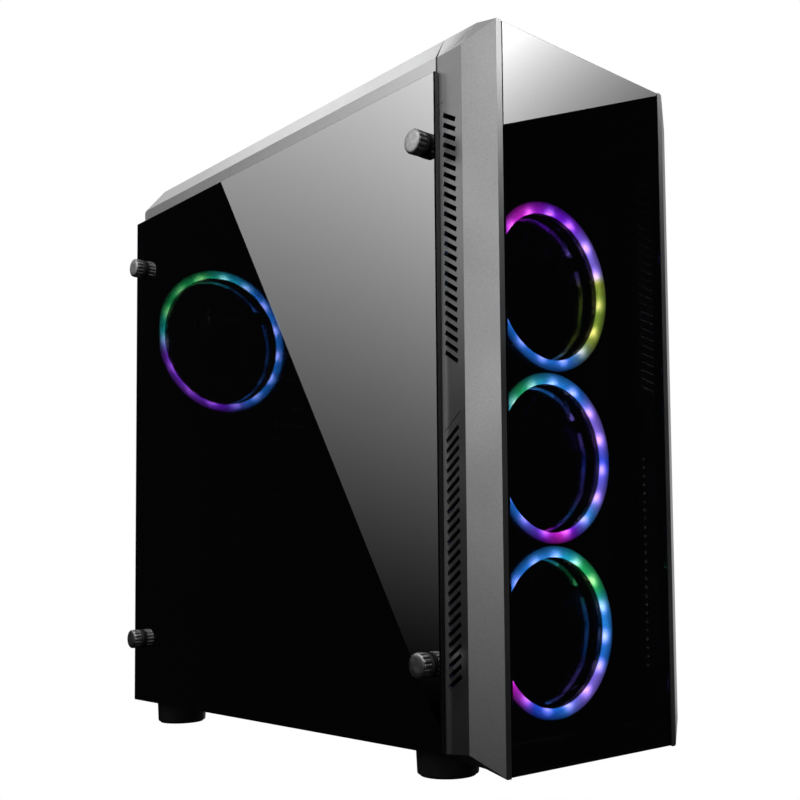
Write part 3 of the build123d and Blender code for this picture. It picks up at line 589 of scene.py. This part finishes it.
centre = fan_middle("rear_fan_frame")
rear_point = (centre.x, case_box("rear_fan_frame")[0].y, centre.z)
refined("rear_fan_frame", PLASTIC, 0.5)
add_ring("rear_light_ring", BACK_FAN, rear_point, REAR_GLOW)
add_rotor("rear_fan_rotor", BACK_FAN, rear_point, BACKWARD)

centre = fan_middle("psu_fan_frame")
supply_point = (centre.x, centre.y, case_box("psu_fan_frame")[0].z)
refined("psu_fan_frame", PLASTIC, 0.4)
add_rotor("psu_fan_rotor", SUPPLY_FAN, supply_point, UPWARD, PLASTIC)

centre = fan_middle("cpu_fan_frame")
cooler_point = (case_box("cpu_fan_frame")[0].x, centre.y, centre.z)
refined("cpu_fan_frame", PLASTIC, 0.4)
add_rotor("cpu_fan_rotor", COOLER_FAN, cooler_point, (1, 0, 0), PLASTIC)


# ------------------------------------------------------------------ thumbscrews and feet
SHANK_RADIUS = 1.75


def fluted_head(radius, length, flutes, depth, shank_length):
    """A round head with rounded flutes, a gently domed face at high Z, and its shank below."""
    work = bmesh.new()
    around = flutes * 10
    levels = [
        (0.86, 0.0, 0.0), (0.97, 0.35, 0.6), (1.0, 0.9, 1.0), (1.0, length - 1.9, 1.0),
        (0.99, length - 1.3, 0.6), (0.95, length - 0.7, 0.15), (0.88, length - 0.32, 0.0),
        (0.76, length - 0.1, 0.0), (0.50, length, 0.0), (0.20, length, 0.0),
    ]
    rows = []
    for share, height, bite in levels:
        row = []
        for index in range(around):
            angle = 2 * math.pi * index / around
            wave = math.cos(flutes * angle)
            notch = depth * bite * max(0.0, wave) ** 1.5
            reach = radius * share - notch
            row.append(work.verts.new((reach * math.cos(angle), reach * math.sin(angle), height)))
        rows.append(row)
    for here, there in zip(rows, rows[1:]):
        for index in range(around):
            after = (index + 1) % around
            work.faces.new((here[index], here[after], there[after], there[index]))
    work.faces.new(rows[0])
    work.faces.new(rows[-1])
    bmesh.ops.recalc_face_normals(work, faces=work.faces)
    tip = -shank_length
    stem = turned([
        (0.0, tip), (SHANK_RADIUS - 0.4, tip), (SHANK_RADIUS, tip + 0.5), (SHANK_RADIUS, 0.3), (0.0, 0.3),
    ], 24)
    join_into(work, stem)
    return work


washer_low, washer_high = case_box("thumbscrew_washers")
WASHER_FACE = washer_low.x
for column in ("front", "rear"):
    for row in ("top", "bottom"):
        node = "thumbscrew_" + column + "_" + row
        low, high = case_box(node)
        point = (WASHER_FACE, (low.y + high.y) / 2, (low.z + high.z) / 2)
        head = fluted_head(8.2, WASHER_FACE - low.x, 14, 0.9, high.x - WASHER_FACE)
        mesh = finish_mesh(node + "_head", head, facing(point, OUTWARD))
        add_piece(node + "_head", mesh, TURNED, body_of(node), node)

WASHER_GAP = 0.04                    # clearance under each head
washers = bmesh.new()
for column in ("front", "rear"):
    for row in ("top", "bottom"):
        low, high = case_box("thumbscrew_" + column + "_" + row)
        thickness = washer_high.x - washer_low.x - WASHER_GAP
        ring = turned(rounded_profile(2.0, 8.0, 0.0, thickness, 0.6), 64)
        point = (washer_high.x, (low.y + high.y) / 2, (low.z + high.z) / 2)
        join_into(washers, ring, facing(point, OUTWARD))
mesh = finish_mesh("rubber_washers", washers, Matrix())
add_piece("rubber_washers", mesh, RUBBER, "side_glass", "thumbscrew_washers")

RIGHT_HEAD = 6.0                     # length of the right panel's screw heads
for level in ("upper", "lower"):
    node = "right_thumbscrew_" + level
    low, high = case_box(node)
    face = high.y - RIGHT_HEAD
    head = fluted_head(5.95, RIGHT_HEAD, 16, 0.5, face - low.y)
    point = ((low.x + high.x) / 2, face, (low.z + high.z) / 2)
    mesh = finish_mesh(node + "_head", head, facing(point, BACKWARD))
    add_piece(node + "_head", mesh, SCREW, body_of(node), node)


def foot_work(radius, low, top):
    """A moulded foot: a slightly tapered skirt with a rounded rim and a recessed underside."""
    return turned([
        (5.0, 8.0), (5.0, top), (radius - 0.3, top), (radius, top - 0.3), (radius - 0.75, low + 0.9),
        (radius - 0.95, low + 0.35), (radius - 1.4, low + 0.05), (radius - 1.8, low),
        (7.0, low), (6.4, 8.0),
    ], 96)


feet_low, feet_high = case_box("feet")
FOOT_RADIUS = 21.0
PAD_RADIUS = 18.4
feet_mesh = bmesh.new()
pads_mesh = bmesh.new()
for x in (feet_low.x + FOOT_RADIUS, feet_high.x - FOOT_RADIUS):
    for y in (feet_low.y + FOOT_RADIUS, feet_high.y - FOOT_RADIUS):
        place = facing((x, y, 0), UPWARD)
        join_into(feet_mesh, foot_work(FOOT_RADIUS, feet_low.z, feet_high.z), place)
        join_into(pads_mesh, turned(rounded_profile(6.0, PAD_RADIUS, 0.0, feet_low.z, 0.4), 72), place)
mesh = finish_mesh("moulded_feet", feet_mesh, Matrix())
add_piece("moulded_feet", mesh, PLASTIC, "chassis", "feet")
mesh = finish_mesh("rubber_foot_pads", pads_mesh, Matrix())
add_piece("rubber_foot_pads", mesh, RUBBER, "chassis", "foot_pads")


# ------------------------------------------------------------------ dust filter
def woven_filter(low, high, border, pitch, wire):
    """A thin frame with two crossing layers of wires in it."""
    work = bmesh.new()

    def bar(x0, x1, y0, y1, z0, z1):
        corners = [(x, y, z) for x in (x0, x1) for y in (y0, y1) for z in (z0, z1)]
        verts = [work.verts.new(corner) for corner in corners]
        for quad in ((0, 1, 3, 2), (4, 6, 7, 5), (0, 4, 5, 1), (2, 3, 7, 6), (0, 2, 6, 4), (1, 5, 7, 3)):
            work.faces.new([verts[index] for index in quad])

    x0, x1, y0, y1 = low.x, high.x, low.y, high.y
    for span in ((x0, x1, y0, y0 + border), (x0, x1, y1 - border, y1)):
        bar(*span, low.z, high.z)
    for span in ((x0, x0 + border, y0 + border, y1 - border), (x1 - border, x1, y0 + border, y1 - border)):
        bar(*span, low.z, high.z)
    middle = low.z + (high.z - low.z) * 0.35
    x = x0 + border + pitch
    while x < x1 - border:
        bar(x - wire / 2, x + wire / 2, y0 + border - 0.5, y1 - border + 0.5, middle, middle + wire)
        x += pitch
    y = y0 + border + pitch
    under = middle - wire * 0.6
    while y < y1 - border:
        bar(x0 + border - 0.5, x1 - border + 0.5, y - wire / 2, y + wire / 2, under, under + wire)
        y += pitch
    bmesh.ops.recalc_face_normals(work, faces=work.faces)
    return work


work = woven_filter(*case_box("top_filter"), 7.0, 1.8, 0.45)
mesh = finish_mesh("top_mesh_filter", work, facing((0, 0, 0), UPWARD))
add_piece("top_mesh_filter", mesh, MESH, "top_filter", "top_filter")

# ------------------------------------------------------------------ shells and carried-over nodes
refined("front_bezel", SILVER, 0.35, 2, 24)
refined("top_cover", SILVER, 0.4, 2, 24)
refined("right_side_panel", STEEL, 0.35)
refined("psu_filter", MESH, 0.5)
for node in ("power_button", "reset_button", "light_button", "psu_switch"):
    refined(node, GLOSS, 0.25)

LOOKS = {
    "side_glass": SIDE_GLASS,
    "front_glass": FRONT_GLASS,
    "chassis_floor": STEEL,
    "chassis_roof": STEEL,
    "rear_panel": STEEL,
    "chassis_front": STEEL,
    "motherboard_tray": STEEL,
    "side_frame": STEEL,
    "psu_shroud": STEEL,
    "slot_covers": STEEL,
    "slot_cover_screws": SCREW,
    "io_shield": ZINC,
    "glass_pads": RUBBER,
    "glass_standoffs": BRASS,
    "front_io_board": CIRCUIT,
    "front_io_sockets": ZINC,
    "fan_screws": SCREW,
    "psu_casing": STEEL,
    "psu_inlet": PLASTIC,
    "drive_cage": STEEL,
    "hard_drive": CAST,
    "motherboard": CIRCUIT,
    "board_ports": ZINC,
    "board_standoffs": BRASS,
    "memory_modules": PLASTIC,
    "cpu_cooler": CAST,
}
for node, material in LOOKS.items():
    dress(frame["nodes"][node], material)


# ------------------------------------------------------------------ studio
# The pale wedge on the side glass and the pale triangle on the front glass are reflections of
# slanted glowing cards. Their edges are worked out from the points of the glass that they cross.
def glowing_card(name, corners, brightness):
    """An off-camera glowing card. brightness is given the card's paint, and X, Y and Z in case metres."""
    mesh = bpy.data.meshes.new(name)
    mesh.from_pydata([at(*corner) for corner in corners], [], [tuple(range(len(corners)))])
    piece = bpy.data.objects.new(name, mesh)
    bpy.context.scene.collection.objects.link(piece)
    paint = Paint(name, (0, 0, 0))
    paint.tree.nodes.remove(paint.shader)
    split = paint.node("ShaderNodeSeparateXYZ")
    paint.link(paint.place, split.inputs[0])
    origin = at(0, 0, 0)
    spot = [paint.math("SUBTRACT", split.outputs[axis], origin[index]) for index, axis in enumerate("XYZ")]
    glow = paint.node("ShaderNodeEmission")
    paint.link(brightness(paint, *spot), glow.inputs["Strength"])
    paint.link(glow.outputs[0], paint.tree.nodes["Material Output"].inputs["Surface"])
    piece.data.materials.append(paint.material)
    piece.visible_camera = False
    piece.visible_diffuse = False
    piece.visible_transmission = False
    piece.visible_shadow = False
    return piece


def steps(paint, value, low, high, stops):
    """A brightness that runs through (position, level) stops as a value goes from low to high."""
    share = paint.math("DIVIDE", paint.math("SUBTRACT", value, low), high - low)
    share = paint.math("MINIMUM", paint.math("MAXIMUM", share, 0.0), 1.0)
    top = max(level for _, level in stops)
    grey = paint.ramp(share, [(position, (level / top,) * 3) for position, level in stops])
    return paint.math("MULTIPLY", grey, top)


EYE = Vector((-551.17, -470.52, 137.25))     # the camera, in case millimetres
SIDE_PLANE = case_box("side_glass")[0].x
CARD_REACH = 1000.0
FRONT_REACH = 1500.0


def seen_in(target, axis, plane, distance):
    """Where the reflection of a point on a glass face comes from, on a parallel plane in front of it."""
    mirrored = EYE.copy()
    mirrored[axis] = 2 * plane - EYE[axis]
    ray = target - mirrored
    return mirrored + ray * ((plane - distance - mirrored[axis]) / ray[axis])


def side_glow(paint, x, y, z):
    """Brightest high up near the front; it falls away downward and to the rear."""
    rise = paint.math("MAXIMUM", paint.math("DIVIDE", paint.math("ADD", z, 0.18), 1.303), 0.0)
    rise = paint.math("POWER", paint.math("MINIMUM", rise, 1.12), 2.1)
    back = paint.math("POWER", paint.math("DIVIDE", 1.19, paint.math("MAXIMUM", y, 1.1)), 1.76)
    ceiling = paint.math("MAXIMUM", paint.math("MINIMUM", paint.math("SUBTRACT", 2.75, y), 1.55), 1.24)
    cut = paint.math("DIVIDE", paint.math("SUBTRACT", ceiling, z), 0.05)
    cut = paint.math("MINIMUM", paint.math("MAXIMUM", cut, 0.05), 1.0)
    return paint.math("MULTIPLY", paint.math("MULTIPLY", rise, back), paint.math("MULTIPLY", cut, 2.29))


side_top = seen_in(Vector((SIDE_PLANE, 307.3, 453.7)), 0, SIDE_PLANE, CARD_REACH)
side_low = seen_in(Vector((SIDE_PLANE, 43.4, 38.6)), 0, SIDE_PLANE, CARD_REACH)
lean = (side_top - side_low).normalized()
side_top += lean * 900
side_low -= lean * 150
card_front = side_low.y - 1400
glowing_card(
    "side_card",
    [side_top, side_low, (side_low.x, card_front, side_low.z), (side_top.x, card_front, side_top.z)],
    side_glow,
)


def front_glow(paint, x, y, z):
    """Fades quickly to the right, and brightens upward."""
    fade = paint.math("DIVIDE", paint.math("SUBTRACT", 1.446, x), 0.31)
    rise = paint.math("DIVIDE", paint.math("SUBTRACT", z, 1.52), 0.29)
    power = paint.math("MINIMUM", paint.math("ADD", fade, rise), 1.2)
    return paint.math("MULTIPLY", paint.math("EXPONENT", power), 5.1)


front_left = seen_in(Vector((-80.0, 0, 412.2)), 1, 0.0, FRONT_REACH)
front_right = seen_in(Vector((80.0, 0, 477.7)), 1, 0.0, FRONT_REACH)
lean = (front_right - front_left).normalized()
front_left -= lean * 120
front_right += lean * 500
glowing_card(
    "front_card",
    [front_left, front_right, front_right + Vector((0, 0, 700)), front_left + Vector((0, 0, 700))],
    front_glow,
)
glowing_card(
    "facet_card",
    [(-1150, -2000, -500), (-350, -2000, -500), (-350, -2000, 2300), (-1150, -2000, 2300)],
    lambda paint, x, y, z: steps(paint, z, -0.5, 2.3, (
        (0.0, 0.13), (0.11, 0.22), (0.2, 0.43), (0.29, 0.82),
        (0.38, 1.3), (0.48, 1.4), (0.57, 1.25), (0.68, 1.6),
    )),
)
glowing_card(
    "chamfer_card",
    [(-950, 2600, 600), (700, 2600, 600), (700, 2600, 4400), (-950, 2600, 4400)],
    lambda paint, x, y, z: steps(
        paint, z, 0.6, 4.4, ((0.05, 0.0), (0.17, 1.0), (0.36, 0.9), (0.42, 1.4), (0.5, 1.95), (1.0, 1.95)),
    ),
)
glowing_card(
    "right_card",
    [(2400, -900, -300), (2400, 2600, -300), (2400, 2600, 2400), (2400, -900, 2400)],
    lambda paint, x, y, z: steps(paint, z, -0.3, 2.4, ((0.0, 0.6), (0.3, 0.5), (0.6, 0.42), (1.0, 0.36))),
)
glowing_card(
    "rear_card",
    [(1000, 2700, -1200), (3800, 1800, -1200), (3800, 1800, 2000), (1000, 2700, 2000)],
    lambda paint, x, y, z: steps(paint, z, -1.2, 2.0, ((0.0, 0.7), (1.0, 1.6))),
)
glowing_card(
    "top_card",
    [(-1200, -900, 2400), (1200, -900, 2400), (1200, 1500, 2400), (-1200, 1500, 2400)],
    lambda paint, x, y, z: steps(paint, x, -1.2, 1.2, ((0.0, 0.9), (1.0, 0.5))),
)


def studio_world():
    """White to the camera, a soft sky for diffuse light, and almost black in reflections and glass."""
    world = bpy.data.worlds.new("studio")
    bpy.context.scene.world = world
    world.use_nodes = True
    tree = world.node_tree
    tree.nodes.clear()
    link = tree.links.new
    out = tree.nodes.new("ShaderNodeOutputWorld")
    path = tree.nodes.new("ShaderNodeLightPath")
    place = tree.nodes.new("ShaderNodeTexCoord")
    split = tree.nodes.new("ShaderNodeSeparateXYZ")
    link(place.outputs["Generated"], split.inputs[0])
    height = tree.nodes.new("ShaderNodeMapRange")
    height.inputs["From Min"].default_value = -1.0
    height.inputs["From Max"].default_value = 1.0
    link(split.outputs["Z"], height.inputs["Value"])
    ramp = tree.nodes.new("ShaderNodeValToRGB")
    stops = ((0.0, 0.03), (0.42, 0.08), (0.55, 0.45), (0.75, 0.95), (1.0, 1.0))
    elements = ramp.color_ramp.elements
    while len(elements) < len(stops):
        elements.new(0.5)
    for element, (position, value) in zip(elements, stops):
        element.position = position
        element.color = (value, value, value, 1.0)
    link(height.outputs["Result"], ramp.inputs["Fac"])
    soft = tree.nodes.new("ShaderNodeBackground")
    link(ramp.outputs["Color"], soft.inputs["Color"])
    soft.inputs["Strength"].default_value = 0.5
    mirror = tree.nodes.new("ShaderNodeBackground")
    mirror.inputs["Color"].default_value = (0.004, 0.004, 0.005, 1.0)
    white = tree.nodes.new("ShaderNodeBackground")
    white.inputs["Color"].default_value = (1.0, 1.0, 1.0, 1.0)
    first = tree.nodes.new("ShaderNodeMixShader")
    second = tree.nodes.new("ShaderNodeMixShader")
    link(path.outputs["Is Diffuse Ray"], first.inputs["Fac"])
    link(mirror.outputs[0], first.inputs[1])
    link(soft.outputs[0], first.inputs[2])
    link(path.outputs["Is Camera Ray"], second.inputs["Fac"])
    link(first.outputs[0], second.inputs[1])
    link(white.outputs[0], second.inputs[2])
    link(second.outputs[0], out.inputs["Surface"])


def sun(name, direction, strength, size):
    lamp = bpy.data.lights.new(name, "SUN")
    lamp.energy = strength
    lamp.angle = size
    holder = bpy.data.objects.new(name, lamp)
    holder.rotation_euler = Vector(direction).to_track_quat("-Z", "Y").to_euler()
    bpy.context.scene.collection.objects.link(holder)


def studio_camera():
    """The viewing angle, from low in front of the glass side. Turned 43 degrees right of the depth axis."""
    yaw, pitch, roll = math.radians(43.1), math.radians(3.36), math.radians(-0.7)
    forward = Vector((math.sin(yaw) * math.cos(pitch), math.cos(yaw) * math.cos(pitch), math.sin(pitch)))
    right = Vector((math.cos(yaw), -math.sin(yaw), 0))
    upward = right.cross(forward)
    turned_right = math.cos(roll) * right + math.sin(roll) * upward
    turned_up = -math.sin(roll) * right + math.cos(roll) * upward
    data = bpy.data.cameras.new("camera")
    data.sensor_width = 36.0
    data.lens = 48.715
    data.shift_x = -0.08965
    data.shift_y = 0.12444
    camera = bpy.data.objects.new("camera", data)
    rotation = Matrix((turned_right, turned_up, -forward)).transposed()
    camera.matrix_world = Matrix.Translation(at(*EYE)) @ rotation.to_4x4()
    bpy.context.scene.collection.objects.link(camera)
    bpy.context.scene.camera = camera


studio_world()
sun("overhead", (0.25, 0.35, -1.0), 0.9, 0.8)
studio_camera()
bpy.context.scene.view_settings.view_transform = "Standard"
